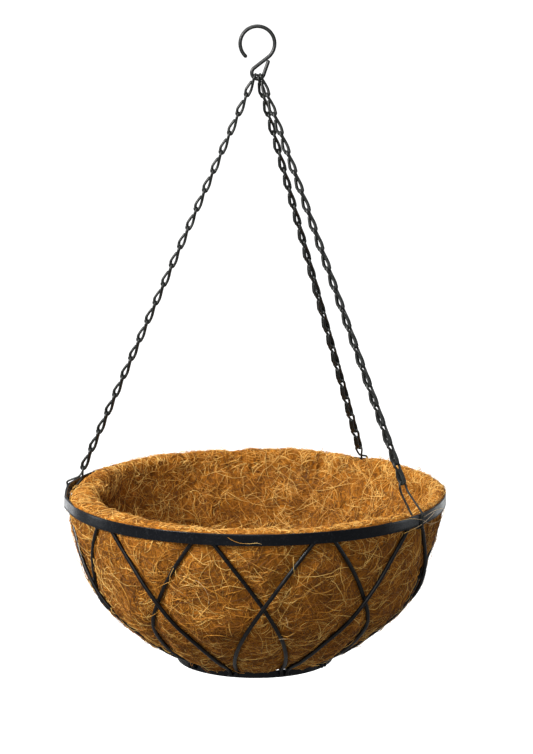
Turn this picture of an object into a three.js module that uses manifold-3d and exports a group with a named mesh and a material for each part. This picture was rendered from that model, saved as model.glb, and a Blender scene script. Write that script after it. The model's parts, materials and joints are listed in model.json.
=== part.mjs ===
// A wire hanging basket with a coir liner, three ladder chains and an S-hook.
// Millimetres, +Z up. The origin is the centre of the base ring's underside.

import * as THREE from "three";
import { mergeVertices } from "three/addons/utils/BufferGeometryUtils.js";
import Module from "manifold-3d";

const DEGREE = Math.PI / 180;
const GAP = 0.3; // clear space between neighbouring pieces

// Rim band: a flat strip rolled into a ring, standing on edge
const RIM_Z = 156; // height of the band's middle
const BAND_RADIUS = 178; // to the middle of the strip
const BAND_HEIGHT = 10.5;
const BAND_THICKNESS = 2.2;
const BAND_SEGMENTS = 72;

// Base ring
const BASE_OUTER_RADIUS = 74.1;
const BASE_THICKNESS = 2.5;
const BASE_HEIGHT = 6.5;
const BASE_SEGMENTS = 48;

// Frame wires: ten pairs at the rim, each wire running one pair spacing round to the base
const WIRE_RADIUS = 1.75;
const PAIR_COUNT = 10;
const PAIR_STEP = 360 / PAIR_COUNT;
const FIRST_PAIR_AZIMUTH = -105.3;
const RIM_HALF_SPREAD = 2.77; // degrees from the pair's centre at the wires' tops
const BASE_HALF_SPREAD = 1.6; // degrees from the base point's centre at the wires' feet
const WIRE_TOP_DEPTH = 2; // below the rim's middle, where the wire's top end is behind the band
const WIRE_FOOT_DEPTH = 155;
const WIRE_STEPS = 13;
const WIRE_SIDES = 5;
const CROSSING_DEPTH = 64;
const CROSSING_REACH = 42; // depth over which a wire steps over its neighbour
const STEP_OUT = 2.6;
const STEP_IN = -1.3;
const TURN_LEAD = 0.17; // share of a wire's turn round the bowl that moves from its foot to its top
// Where the wires cross, the one going clockwise down (seen from above) is outside in these sectors
const CLOCKWISE_OUTSIDE = [true, true, false, true, false, true, false, true, false, false];

// The outer face of the wires, as [depth below the rim's middle, radius]
const FOOT_RADIUS = BASE_OUTER_RADIUS + 2 * WIRE_RADIUS + GAP;
const BOWL_OUTLINE = [
  [-20, 176.6],
  [0, 176.6],
  [30, 171.7],
  [60, 163.3],
  [90, 150.9],
  [115, 126.9],
  [135, 101.6],
  [150, FOOT_RADIUS],
  [170, FOOT_RADIUS],
];

// Coir liner
const LINER_CLEARANCE = 2 * WIRE_RADIUS - STEP_IN + 0.5;
const LINER_THICKNESS = 11;
const LINER_LIP_ABOVE_RIM = 8.5;
const LINER_BOTTOM_Z = 4; // the liner's bottom hangs a little way into the base ring
const LINER_BOTTOM_RADIUS = 66;
const LINER_DEPTHS = [-5.5, 30, 60, 85, 103, 118, 132]; // below the rim's middle
const LINER_SEGMENTS = 40;
const NOTCH_HALF_WIDTH = 8;
const NOTCH_INNER_RADIUS = 156;
const NOTCH_BOTTOM_Z = RIM_Z - 12;

// Chains: ladder chain, each link bent from one wire and hooked round the next link's top bar
const CHAIN_WIRE_RADIUS = 0.85;
const CHAIN_WIRE_SIDES = 4;
const LINK_COUNT = 21;
const LINKS_PER_RUN = 2;
const SHOULDER_HALF_WIDTH = 3.9;
const SHOULDER_DROP = 3.4; // from the bar down to where the link is widest
const BAR_CORNER = 1.2; // how far the bar's straight part stops short of the shoulder
const WAIST_HALF_WIDTH = 1.2;
const LOOSE_DROP = 2.3; // from a bar's centre down to the hook under it, where the joint moves
const SEATED_DROP = 0.95; // the same where two links of one run bear on each other
// Seats are degrees round the hook's eye from its bottom. The front chain is drawn up tighter: its
// pitch is shorter and its rim clip stands higher.
const CHAINS = [
  { name: "left", azimuth: 170, seat: -55, pitch: 19.5 },
  { name: "back", azimuth: 52.5, seat: 0, pitch: 19.5 },
  { name: "front", azimuth: -33.5, seat: 55, pitch: 18.8 },
];
const TOP_BAR_AZIMUTH = 90; // direction of the top links' bars, across the hook's plane

// S-hook
const HOOK_WIRE_RADIUS = 1.75;
const EYE_X = 2.7; // the hook hangs a little to one side of the basket's axis
const EYE_Z = RIM_Z + 392; // centre of the wire at the bottom of the lower eye
const HOOK_SIDES = 8;
const HOOK_ARC_RADIUS = 15.8;
const HOOK_ARC_CENTRE = [-0.4, 32.3]; // across and above the bottom of the eye
const HOOK_TIP_ANGLE = 226;
const SHANK_ANGLE = -52.5; // where the upper arc runs into the straight shank
const EYE_ARC_RADIUS = 5.6;
const EYE_ARC_CENTRE = [0, EYE_ARC_RADIUS];
const EYE_END_ANGLE = 340;
const EYE_END = [8.6, 12.8];
const ARC_STEP = 15;

// Rim clips: the long end links that straddle the band. Their pivot is under the band.
const CLIP_PIVOT_RADIUS = BAND_RADIUS;
const CLIP_PIVOT_Z = RIM_Z - BAND_HEIGHT / 2 - GAP - CHAIN_WIRE_RADIUS;

const steel = { metalness: 0.6, roughness: 0.42 };
const MATERIALS = {
  band: new THREE.MeshStandardMaterial({ color: 0x17181a, metalness: 0.5, roughness: 0.3 }),
  wire: new THREE.MeshStandardMaterial({ color: 0x1d1e20, ...steel }),
  chain: new THREE.MeshStandardMaterial({ color: 0x2a2b2d, ...steel }),
  hook: new THREE.MeshStandardMaterial({ color: 0x222325, ...steel }),
  coir: new THREE.MeshStandardMaterial({ color: 0xa9763a, metalness: 0, roughness: 0.95 }),
};

const wasm = await Module();
wasm.setup();

// A curve through given points, one extrusion ring at each point
class WirePath extends THREE.Curve {
  constructor(points) {
    super();
    this.points = points;
  }

  getPoint(t) {
    const place = t * (this.points.length - 1);
    const index = Math.min(Math.floor(place), this.points.length - 2);
    return this.points[index].clone().lerp(this.points[index + 1], place - index);
  }

  getPointAt(t) {
    return this.getPoint(t);
  }

  getSpacedPoints(divisions) {
    return this.getPoints(divisions);
  }

  getTangentAt(t) {
    const nudge = 0.5 / (this.points.length - 1);
    const before = this.getPoint(Math.max(0, t - nudge));
    return this.getPoint(Math.min(1, t + nudge)).sub(before).normalize();
  }
}

function wireGeometry(points, radius, sides) {
  const section = new THREE.Shape();
  for (let i = 0; i < sides; i += 1) {
    const angle = (i * 2 * Math.PI) / sides;
    const corner = [radius * Math.cos(angle), radius * Math.sin(angle)];
    if (i === 0) section.moveTo(...corner);
    else section.lineTo(...corner);
  }
  section.closePath();
  return new THREE.ExtrudeGeometry(section, {
    steps: points.length - 1,
    extrudePath: new WirePath(points),
    bevelEnabled: false,
    curveSegments: 1,
  });
}

function toSolid(geometry) {
  const bare = geometry.clone();
  bare.deleteAttribute("normal");
  bare.deleteAttribute("uv");
  const merged = mergeVertices(bare, 1e-4);
  return new wasm.Manifold(
    new wasm.Mesh({
      numProp: 3,
      vertProperties: new Float32Array(merged.attributes.position.array),
      triVerts: new Uint32Array(merged.index.array),
    }),
  );
}

function fromSolid(solid) {
  const mesh = solid.getMesh();
  const geometry = new THREE.BufferGeometry();
  geometry.setAttribute("position", new THREE.BufferAttribute(mesh.vertProperties, 3));
  geometry.setIndex(new THREE.BufferAttribute(mesh.triVerts, 1));
  geometry.computeVertexNormals();
  return geometry;
}

function named(name, geometry, material) {
  const mesh = new THREE.Mesh(geometry, material);
  mesh.name = name;
  return mesh;
}

function ring(innerRadius, outerRadius, bottom, top, segments) {
  const profile = [
    new THREE.Vector2(innerRadius, bottom),
    new THREE.Vector2(outerRadius, bottom),
    new THREE.Vector2(outerRadius, top),
    new THREE.Vector2(innerRadius, top),
    new THREE.Vector2(innerRadius, bottom),
  ];
  return new THREE.LatheGeometry(profile, segments).rotateX(Math.PI / 2);
}

const outline = new THREE.SplineCurve(BOWL_OUTLINE.map((p) => new THREE.Vector2(...p)));
const outlineSamples = outline.getPoints(400);

function bowlRadius(depth) {
  const after = outlineSamples.findIndex((p) => p.x >= depth);
  const a = outlineSamples[after - 1];
  const b = outlineSamples[after];
  const radius = a.y + ((b.y - a.y) * (depth - a.x)) / (b.x - a.x);
  return Math.max(radius, FOOT_RADIUS);
}

function aroundZ(radius, degrees, z) {
  return new THREE.Vector3(
    radius * Math.cos(degrees * DEGREE),
    radius * Math.sin(degrees * DEGREE),
    z,
  );
}

function frameWire(pair, direction) {
  const sector = direction > 0 ? pair : (pair + PAIR_COUNT - 1) % PAIR_COUNT;
  const outside = CLOCKWISE_OUTSIDE[sector] === direction < 0;
  const start = FIRST_PAIR_AZIMUTH + pair * PAIR_STEP + direction * RIM_HALF_SPREAD;
  const travel = direction * (PAIR_STEP - RIM_HALF_SPREAD - BASE_HALF_SPREAD);
  const points = [];
  for (let i = 0; i <= WIRE_STEPS; i += 1) {
    const share = i / WIRE_STEPS;
    const depth = WIRE_TOP_DEPTH + share * (WIRE_FOOT_DEPTH - WIRE_TOP_DEPTH);
    const turned = (1 + TURN_LEAD) * share - TURN_LEAD * share ** 3;
    const fromCrossing = Math.min(1, Math.abs(depth - CROSSING_DEPTH) / CROSSING_REACH);
    const bump = Math.cos((fromCrossing * Math.PI) / 2) ** 2;
    const step = bump * (outside ? STEP_OUT : STEP_IN);
    const radius = bowlRadius(depth) - WIRE_RADIUS + step;
    points.push(aroundZ(radius, start + travel * turned, RIM_Z - depth));
  }
  return wireGeometry(points, WIRE_RADIUS, WIRE_SIDES);
}

// A point inside the wires' outer face, as its radius and height
function insetPoint(depth, inset) {
  const slope = (bowlRadius(depth + 1) - bowlRadius(depth - 1)) / 2;
  const length = Math.hypot(1, slope);
  const radius = bowlRadius(depth) - inset / length;
  return new THREE.Vector2(radius, RIM_Z - depth - (inset * slope) / length);
}

function linerGeometry() {
  const outer = LINER_DEPTHS.map((depth) => insetPoint(depth, LINER_CLEARANCE));
  const inner = LINER_DEPTHS.map((depth) => insetPoint(depth, LINER_CLEARANCE + LINER_THICKNESS));
  const lipMiddle = outer[0].x - LINER_THICKNESS / 2;
  const profile = [
    new THREE.Vector2(0, LINER_BOTTOM_Z),
    new THREE.Vector2(LINER_BOTTOM_RADIUS, LINER_BOTTOM_Z),
    ...outer.reverse(),
    new THREE.Vector2(lipMiddle, RIM_Z + LINER_LIP_ABOVE_RIM),
    ...inner,
    new THREE.Vector2(LINER_BOTTOM_RADIUS - LINER_THICKNESS, LINER_BOTTOM_Z + LINER_THICKNESS),
    new THREE.Vector2(0, LINER_BOTTOM_Z + LINER_THICKNESS),
  ];
  let solid = toSolid(new THREE.LatheGeometry(profile, LINER_SEGMENTS).rotateX(Math.PI / 2));
  for (const chain of CHAINS) {
    const length = BAND_RADIUS - NOTCH_INNER_RADIUS;
    const height = 2 * (RIM_Z + LINER_LIP_ABOVE_RIM - NOTCH_BOTTOM_Z);
    const notch = new THREE.BoxGeometry(length, 2 * NOTCH_HALF_WIDTH, height);
    notch.translate(NOTCH_INNER_RADIUS + length / 2, 0, NOTCH_BOTTOM_Z + height / 2);
    notch.rotateZ(chain.azimuth * DEGREE);
    solid = solid.subtract(toSolid(notch));
  }
  return fromSolid(solid);
}

// One side of a link, from the tip of its hook up to the end of its top bar. The columns are the
// distance along the bar, the distance out of the link's plane, and the height above the top bar.
function halfLink(pitch, drop) {
  const s = SHOULDER_HALF_WIDTH;
  const w = WAIST_HALF_WIDTH;
  const bar = -pitch; // the next link's bar
  return [
    [w, 1.3, bar + 9],
    [w, 2.7, bar + 3.2],
    [w, 1.7, bar - drop],
    [w, -1.7, bar - drop],
    [w, -2.1, bar + 4],
    [s, 0, -SHOULDER_DROP],
    [s - BAR_CORNER, 0, 0],
  ];
}

function chainFrame(chain) {
  const pivot = aroundZ(CLIP_PIVOT_RADIUS, chain.azimuth, CLIP_PIVOT_Z);
  const reach = EYE_ARC_RADIUS - HOOK_WIRE_RADIUS - CHAIN_WIRE_RADIUS - GAP;
  const across = reach * Math.sin(chain.seat * DEGREE);
  const below = reach * Math.cos(chain.seat * DEGREE);
  const topBar = new THREE.Vector3(EYE_X + across, 0, EYE_Z + EYE_ARC_RADIUS - below);
  const up = topBar.clone().sub(pivot).normalize();
  return { pivot, up, topBar };
}

// The bars turn evenly from across the chain's own radial plane at the rim to across the hook
function barAzimuth(chain, index) {
  const atRim = chain.azimuth + 90 > 180 ? chain.azimuth - 90 : chain.azimuth + 90;
  return TOP_BAR_AZIMUTH + ((atRim - TOP_BAR_AZIMUTH) * index) / LINK_COUNT;
}

function linkPoint(chain, frame, index, [along, out, height]) {
  const turned = index - height / chain.pitch;
  const bar = aroundZ(1, barAzimuth(chain, turned), 0);
  bar.addScaledVector(frame.up, -bar.dot(frame.up)).normalize();
  const side = frame.up.clone().cross(bar);
  return frame.topBar
    .clone()
    .addScaledVector(frame.up, height - index * chain.pitch)
    .addScaledVector(bar, along)
    .addScaledVector(side, out);
}

function linkGeometry(chain, frame, index, drop) {
  const half = halfLink(chain.pitch, drop);
  const mirrored = half.map(([along, out, height]) => [-along, out, height]).reverse();
  const points = [...half, ...mirrored].map((p) => linkPoint(chain, frame, index, p));
  return wireGeometry(points, CHAIN_WIRE_RADIUS, CHAIN_WIRE_SIDES);
}

function chainRun(chain, frame, first, count) {
  if (count === 1) return linkGeometry(chain, frame, first, LOOSE_DROP);
  const upper = toSolid(linkGeometry(chain, frame, first, SEATED_DROP));
  const lower = toSolid(linkGeometry(chain, frame, first + 1, LOOSE_DROP));
  return fromSolid(upper.add(lower));
}

// The columns are the distance outward from the pivot, the height above it and the distance
// along the rim. The outer leg follows the band's face; the inner leg leans with the chain.
function rimClip(chain, frame) {
  const outward = aroundZ(1, chain.azimuth, 0);
  const along = aroundZ(1, barAzimuth(chain, LINK_COUNT), 0);
  const bar = frame.topBar.clone().addScaledVector(frame.up, -LINK_COUNT * chain.pitch);
  const barOut = bar.clone().sub(frame.pivot).dot(outward);
  const barUp = bar.z - frame.pivot.z;
  const outerLeg = BAND_THICKNESS / 2 + CHAIN_WIRE_RADIUS + 2 * GAP;
  const places = [
    [-0.8, 0, 1.3],
    [1.6, 0, 1.3],
    [outerLeg, 1.4, 1.1],
    [outerLeg, 13.6, 1.1],
    [barOut + 4.8, barUp - 8.4, 2.6],
    [barOut + 0.7, barUp - SHOULDER_DROP, SHOULDER_HALF_WIDTH],
    [barOut, barUp, SHOULDER_HALF_WIDTH - BAR_CORNER],
    [barOut, barUp, BAR_CORNER - SHOULDER_HALF_WIDTH],
    [barOut - 0.3, barUp - SHOULDER_DROP, -SHOULDER_HALF_WIDTH],
    [barOut + 0.2, barUp - 9, -2.6],
    [-3.1, 0.6, -1.1],
    [-1.9, -0.2, -1.3],
    [0.8, 0, -1.3],
  ];
  const points = places.map(([out, height, tangential]) =>
    frame.pivot
      .clone()
      .addScaledVector(outward, out)
      .addScaledVector(along, tangential)
      .add(new THREE.Vector3(0, 0, height)),
  );
  return wireGeometry(points, CHAIN_WIRE_RADIUS, CHAIN_WIRE_SIDES);
}

function arcPoints([x, z], radius, from, to) {
  const steps = Math.round(Math.abs(to - from) / ARC_STEP);
  const points = [];
  for (let i = 0; i <= steps; i += 1) {
    const angle = (from + ((to - from) * i) / steps) * DEGREE;
    const across = EYE_X + x + radius * Math.cos(angle);
    points.push(new THREE.Vector3(across, 0, EYE_Z + z + radius * Math.sin(angle)));
  }
  return points;
}

function hookGeometry() {
  const eyeStart = 180 + SHANK_ANGLE; // the shank leaves both arcs along their tangent
  const points = [
    ...arcPoints(HOOK_ARC_CENTRE, HOOK_ARC_RADIUS, HOOK_TIP_ANGLE, SHANK_ANGLE),
    ...arcPoints(EYE_ARC_CENTRE, EYE_ARC_RADIUS, eyeStart, EYE_END_ANGLE),
    new THREE.Vector3(EYE_X + EYE_END[0], 0, EYE_Z + EYE_END[1]),
  ];
  return wireGeometry(points, HOOK_WIRE_RADIUS, HOOK_SIDES);
}

const basket = new THREE.Group();

const bandInner = BAND_RADIUS - BAND_THICKNESS / 2;
const bandOuter = BAND_RADIUS + BAND_THICKNESS / 2;
const bandBottom = RIM_Z - BAND_HEIGHT / 2;
const bandTop = RIM_Z + BAND_HEIGHT / 2;
const band = ring(bandInner, bandOuter, bandBottom, bandTop, BAND_SEGMENTS);
basket.add(named("rim_band", band, MATERIALS.band));

const baseInner = BASE_OUTER_RADIUS - BASE_THICKNESS;
const base = ring(baseInner, BASE_OUTER_RADIUS, 0, BASE_HEIGHT, BASE_SEGMENTS);
basket.add(named("base_ring", base, MATERIALS.band));

for (let pair = 0; pair < PAIR_COUNT; pair += 1) {
  const number = String(pair + 1).padStart(2, "0");
  basket.add(named(`frame_wire_${number}_a`, frameWire(pair, 1), MATERIALS.wire));
  basket.add(named(`frame_wire_${number}_b`, frameWire(pair, -1), MATERIALS.wire));
}

basket.add(named("coir_liner", linerGeometry(), MATERIALS.coir));

for (const chain of CHAINS) {
  const frame = chainFrame(chain);
  const chainGroup = new THREE.Group();
  chainGroup.add(named(`chain_${chain.name}_rim_clip`, rimClip(chain, frame), MATERIALS.chain));
  let number = 1;
  for (let end = LINK_COUNT; end > 0; end -= LINKS_PER_RUN) {
    const first = Math.max(0, end - LINKS_PER_RUN);
    const label = end === 1 ? "top_link" : `run_${String(number).padStart(2, "0")}`;
    const run = chainRun(chain, frame, first, end - first);
    chainGroup.add(named(`chain_${chain.name}_${label}`, run, MATERIALS.chain));
    number += 1;
  }
  basket.add(chainGroup);
}

basket.add(named("s_hook", hookGeometry(), MATERIALS.hook));

export default basket;
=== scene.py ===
import json
import math

import bpy
import numpy as np
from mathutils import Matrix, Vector, noise


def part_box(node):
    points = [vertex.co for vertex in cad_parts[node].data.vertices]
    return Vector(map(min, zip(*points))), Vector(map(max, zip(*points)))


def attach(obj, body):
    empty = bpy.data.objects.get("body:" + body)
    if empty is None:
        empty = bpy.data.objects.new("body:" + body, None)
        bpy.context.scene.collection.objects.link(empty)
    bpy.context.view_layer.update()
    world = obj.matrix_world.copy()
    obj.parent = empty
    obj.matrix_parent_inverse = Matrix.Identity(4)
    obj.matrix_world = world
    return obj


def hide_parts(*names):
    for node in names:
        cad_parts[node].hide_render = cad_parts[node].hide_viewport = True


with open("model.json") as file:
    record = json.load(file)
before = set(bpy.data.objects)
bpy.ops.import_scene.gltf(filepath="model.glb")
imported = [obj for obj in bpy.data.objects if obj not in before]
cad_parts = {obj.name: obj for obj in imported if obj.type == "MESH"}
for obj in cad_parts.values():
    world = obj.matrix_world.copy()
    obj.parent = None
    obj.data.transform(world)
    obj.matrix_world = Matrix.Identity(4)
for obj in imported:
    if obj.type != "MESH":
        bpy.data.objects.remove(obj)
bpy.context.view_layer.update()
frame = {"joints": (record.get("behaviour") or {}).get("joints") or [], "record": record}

MM = 0.001
SEED = 20

# Sizes read from the frame
band_low, band_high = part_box("rim_band")
RIM_Z = (band_low.z + band_high.z) / 2
BAND_HEIGHT = band_high.z - band_low.z
BAND_OUTER_RADIUS = band_high.x
BASE_OUTER_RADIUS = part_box("base_ring")[1].x
BASE_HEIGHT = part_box("base_ring")[1].z
JOINTS = {joint["name"]: joint for joint in frame["joints"]}
BODY_OF = {node: body for body, nodes in frame["record"]["behaviour"]["bodies"].items() for node in nodes}

# Rim band and base ring
BAND_THICKNESS = 2.2 * MM
BASE_THICKNESS = 2.5 * MM
STRIP_EDGE_RADIUS = 0.45 * MM
BAND_CORNER = 1.3 * MM  # how far the band is pulled out into a corner at each chain
BAND_CORNER_WIDTH = 5.0  # degrees
BAND_WAVE = 0.5 * MM  # how far the band is out of round
FRONT_RISE = 1.2 * MM  # how far the band stands higher at the front
FAR_LEFT_AZIMUTH = 188
FAR_LEFT_CORNER = 1.5 * MM  # a bent-out corner at that azimuth
BAND_STEPS = 480
BASE_STEPS = 240

# Frame wires: ten pairs, each wire running round by one pair spacing on its way to the base
WIRE_RADIUS = 1.75 * MM
COATED_WIRE_RADIUS = 1.92 * MM  # with its thick powder coat
PAIR_COUNT = 10
PAIR_STEP = 360 / PAIR_COUNT
FIRST_PAIR_AZIMUTH = -105.3
RIM_HALF_SPREAD = 2.77  # degrees from the pair's centre at the wires' tops
BASE_HALF_SPREAD = 1.6  # degrees from the base point's centre at the wires' feet
WIRE_TOP_DEPTH = 2 * MM
WIRE_FOOT_DEPTH = 155 * MM
WIRE_END_DEPTH = 153 * MM  # where the wire is cut, above the ring's lower edge
WIRE_STEPS = 90
WIRE_SIDES = 14
TURN_LEAD = 0.17  # share of a wire's turn round the bowl that moves from its foot to its top
CROSSING_DEPTH = 64 * MM
CROSSING_REACH = 42 * MM  # depth over which a wire steps over its neighbour
STEP_OUT = 2.6 * MM
STEP_IN = -1.3 * MM
RIM_WELD_DEPTH = 3.8 * MM
BASE_WELD_DEPTH = 150 * MM
# Where the wires cross, the one going clockwise down (seen from above) is outside in these sectors
CLOCKWISE_OUTSIDE = [True, True, False, True, False, True, False, True, False, False]

# The outer face of the wires: depth below the rim's middle and radius, in millimetres
FOOT_RADIUS = BASE_OUTER_RADIUS / MM + 3.8
BOWL_OUTLINE = [(-20, 176.6), (0, 176.6), (30, 171.7), (60, 163.3), (90, 150.9), (115, 126.9), (135, 101.6)]
BOWL_OUTLINE += [(150, FOOT_RADIUS), (170, FOOT_RADIUS)]

# Coir liner
LINER_AROUND = 400
LINER_OUTER_STEPS = 74
LINER_INNER_STEPS = 62
LINER_LIP_STEPS = 16
LINER_BOTTOM_STEPS = 14
LINER_FOOT_DEPTH = 149.5 * MM
LINER_BOTTOM_SAG = 3.5 * MM
LINER_WALL = 11.5 * MM
LINER_OFF_WIRE = 3.7 * MM  # from the wires' outer face to the coir behind a wire
LINER_PUFF = 2.6 * MM  # how much further out the coir stands between wires
PUFF_REACH = 20 * MM
WIRE_SHADOW = 9 * MM  # lumps and fibres lie flatter within this distance of a wire
LIP_OUTER_RADIUS = 177.6 * MM
LIP_CREST = 8.3 * MM  # above the rim's middle
LIP_BLEND_DEPTH = 34 * MM
CLIP_DIP = 4.5 * MM  # how far a clip presses the lip down
CLIP_DIP_WIDTH = 3.2  # degrees
FIBRE_RADIUS = (0.13, 0.32)  # millimetres
FIBRE_STEPS = 9
FIBRE_SIDES = 3
FULL_BATCH = 3800  # fibres in one full batch
LOOSE_SHARE = 0.1  # of a batch's fibres, the ones that stand off the mat
HEADING_SPREAD = 0.55
CURLY_SHARE = 0.3
CURLY_BEND = 2.2
PLAIN_BEND = 0.8
FIBRE_SINK = 0.35 * MM  # how deep a fibre's ends are buried
TONE_PATCH = 11 * MM  # size of the lighter and darker patches
FLOOR_SPAN = 90 * MM  # of the section, the liner's inside bottom
STRAY_COUNT = 46
LIP_GAP = 9 * MM  # how far the lip stands inside the band at the left chain
LIP_GAP_AZIMUTH = 170
LIP_GAP_WIDTH = 24  # degrees
LIP_GAP_DEPTH = 34 * MM  # how far down the wall stands in as well
# Folds in the inside wall: azimuth and how far each stands in, in millimetres
FOLDS = [(50, 2.6), (68, -1.8), (104, 2.0), (131, -2.2), (20, 1.8)]
SLIT_AZIMUTH = 91.5
SLIT_DEPTH = 12 * MM
# Lip thickness by azimuth: a fat roll at the front left with a step at its end, thin at the right
LIP_THICKNESS = [(-180, 20), (-160, 26), (-145, 28), (-132, 24), (-126, 20), (-105, 17.5), (-80, 17)]
LIP_THICKNESS += [(-55, 15), (-38, 13), (-20, 11), (10, 10.5), (60, 13), (90, 12), (130, 15), (180, 20)]

# Chains
CHAIN_NAMES = ["left", "back", "front"]
CHAIN_WIRE_RADIUS = 1.25 * MM
CLIP_WIRE_RADIUS = 1.0 * MM
LINK_COUNT = 21
LOWEST_BEND_BAR = 21  # the bars, counted from the top, that a chain's first and last bend turn on
HIGHEST_BEND_BAR = 5
TOP_BAR_AZIMUTH = 90
SHOULDER_HALF_WIDTH = 3.9 * MM
SHOULDER_DROP = 3.6 * MM
WAIST_HALF_WIDTH = 1.4 * MM
HOOK_LOOP_RADIUS = 1.85 * MM  # of a link's hook round the next bar

# S-hook
HOOK_WIRE_RADIUS = 1.75 * MM
EYE_X = JOINTS["s_hook_rock"]["pos_m"][0]
EYE_BOTTOM_Z = JOINTS["s_hook_rock"]["pos_m"][2] - 0.45 * MM
HOOK_ARC_RADIUS = 15.8 * MM
HOOK_ARC_CENTRE = (-0.4 * MM, 32.3 * MM)  # across and above the bottom of the eye
HOOK_ARC_ENDS = (226, -52.5)  # degrees, from the open tip to the shank
EYE_ARC_RADIUS = 5.6 * MM
EYE_ARC_ENDS = (127.5, 340)
EYE_END = (9.4 * MM, 15.6 * MM)

# Camera: how the basket is seen, from its front and a little above
CAMERA_DISTANCE = 2.728
CAMERA_ABOVE_RIM = 0.629
CAMERA_ASIDE = 10.6 * MM
CAMERA_TILT = 10.69
CAMERA_LENS = 141.95

# Floor and light
FLOOR_Z = -0.26
FLOOR_REACH = 60.0
FLOOR_BOUNCE = 110  # the grey that the floor throws back at the basket
AMBIENT = 0.38
OVERHEAD = 2.7
# Name, place, size, power in watts and colour. All face the middle of the rim.
PANELS = [
    ("key", (-1.75, -1.25, 1.4), (0.7, 0.7), 82, (1, 0.985, 0.95)),
    ("front_fill", (-0.3, -2.3, 0.75), (1.0, 1.0), 13, (1, 1, 1)),
    ("right_panel", (1.9, 0.1, 0.25), (0.5, 1.1), 5, (0.93, 0.97, 1)),
    ("back_left_card", (-1.0, 1.5, -0.3), (0.9, 0.6), 3.4, (0.95, 0.97, 1)),
    ("back_right_card", (1.0, 1.5, -0.3), (0.9, 0.6), 2.4, (0.95, 0.98, 0.97)),
    ("left_panel", (-1.9, 0.5, 0.3), (0.5, 1.1), 5, (0.93, 0.97, 1)),
]


# ---------------------------------------------------------------- geometry helpers


def around_z(radius, degrees, z):
    angle = np.radians(degrees)
    parts = np.broadcast_arrays(radius * np.cos(angle), radius * np.sin(angle), z)
    return np.stack(parts, axis=-1)


def unit(vectors):
    length = np.linalg.norm(vectors, axis=-1, keepdims=True)
    return vectors / np.maximum(length, 1e-12)


def smoothstep(low, high, value):
    t = np.clip((value - low) / (high - low), 0, 1)
    return t * t * (3 - 2 * t)


def angle_between(a, b):
    """Degrees from b to a, the short way round."""
    return (a - b + 180) % 360 - 180


def catmull_rom(points, steps):
    """A smooth path through the points, with that many steps between each two."""
    p = np.asarray(points, float)
    p = np.vstack([2 * p[0] - p[1], p, 2 * p[-1] - p[-2]])
    path = []
    for i in range(1, len(p) - 2):
        for k in range(steps):
            t = k / steps
            path.append(
                0.5
                * (
                    2 * p[i]
                    + (p[i + 1] - p[i - 1]) * t
                    + (2 * p[i - 1] - 5 * p[i] + 4 * p[i + 1] - p[i + 2]) * t * t
                    + (3 * p[i] - p[i - 1] - 3 * p[i + 1] + p[i + 2]) * t**3
                )
            )
    path.append(p[-2])
    return np.array(path)


class Shape:
    """Collects closed bodies into one mesh object."""

    def __init__(self):
        self.vertices = []
        self.faces = []

    def add(self, vertices, faces):
        start = len(self.vertices)
        self.vertices.extend(map(tuple, vertices))
        self.faces.extend(tuple(i + start for i in face) for face in faces)

    def add_wire(self, points, radius, sides=12, end_rings=3):
        """A round wire along the points, with half-round ends."""
        points = np.asarray(points, float)
        tangents = unit(np.gradient(points, axis=0))
        start = np.array([0.0, 0.0, 1.0]) if abs(tangents[0][2]) < 0.8 else np.array([1.0, 0.0, 0.0])
        normal = unit(np.cross(tangents[0], start))
        caps = [math.pi / 2 * k / end_rings for k in range(end_rings)]
        rings = [(0, -math.cos(cap), math.sin(cap)) for cap in caps]
        rings += [(i, 0.0, 1.0) for i in range(len(points))]
        rings += [(len(points) - 1, math.cos(cap), math.sin(cap)) for cap in reversed(caps)]
        vertices = []
        for index, forward, share in rings:
            tangent = tangents[index]
            normal = unit(normal - tangent * np.dot(normal, tangent))
            side = np.cross(tangent, normal)
            centre = points[index] + tangent * forward * radius
            for j in range(sides):
                angle = 2 * math.pi * j / sides
                reach = radius * max(share, 0.08)
                vertices.append(centre + reach * (normal * math.cos(angle) + side * math.sin(angle)))
        faces = []
        for r in range(len(rings) - 1):
            for j in range(sides):
                k = (j + 1) % sides
                a, b = r * sides, (r + 1) * sides
                faces.append((a + j, a + k, b + k, b + j))
        faces.append(tuple(reversed(range(sides))))
        faces.append(tuple(range(len(vertices) - sides, len(vertices))))
        self.add(vertices, faces)

    def add_bead(self, centre, axes, wobble):
        """A small lumpy ellipsoid, such as a weld bead. The axes are its three half lengths as vectors."""
        rings, sides = 7, 10
        vertices = [np.array(centre) - axes[2]]
        for r in range(1, rings):
            up = -math.cos(math.pi * r / rings)
            out = math.sin(math.pi * r / rings)
            for j in range(sides):
                angle = 2 * math.pi * j / sides
                place = axes[0] * math.cos(angle) * out + axes[1] * math.sin(angle) * out + axes[2] * up
                lump = 1 + wobble * noise.noise(Vector((np.array(centre) + place) * 900))
                vertices.append(np.array(centre) + place * lump)
        vertices.append(np.array(centre) + axes[2])
        last = len(vertices) - 1
        faces = []
        for j in range(sides):
            k = (j + 1) % sides
            faces.append((0, 1 + k, 1 + j))
            top = 1 + (rings - 2) * sides
            faces.append((last, top + j, top + k))
            for r in range(rings - 2):
                a, b = 1 + r * sides, 1 + (r + 1) * sides
                faces.append((a + j, a + k, b + k, b + j))
        self.add(vertices, faces)

    def make(self, name, material, body, slot, replaced=()):
        mesh = bpy.data.meshes.new(name)
        mesh.from_pydata([tuple(v) for v in self.vertices], [], self.faces)
        return finish_piece(name, mesh, material, body, replaced)


def new_object(name, data):
    made = bpy.data.objects.new(name, data)
    bpy.context.scene.collection.objects.link(made)
    return made


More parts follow.
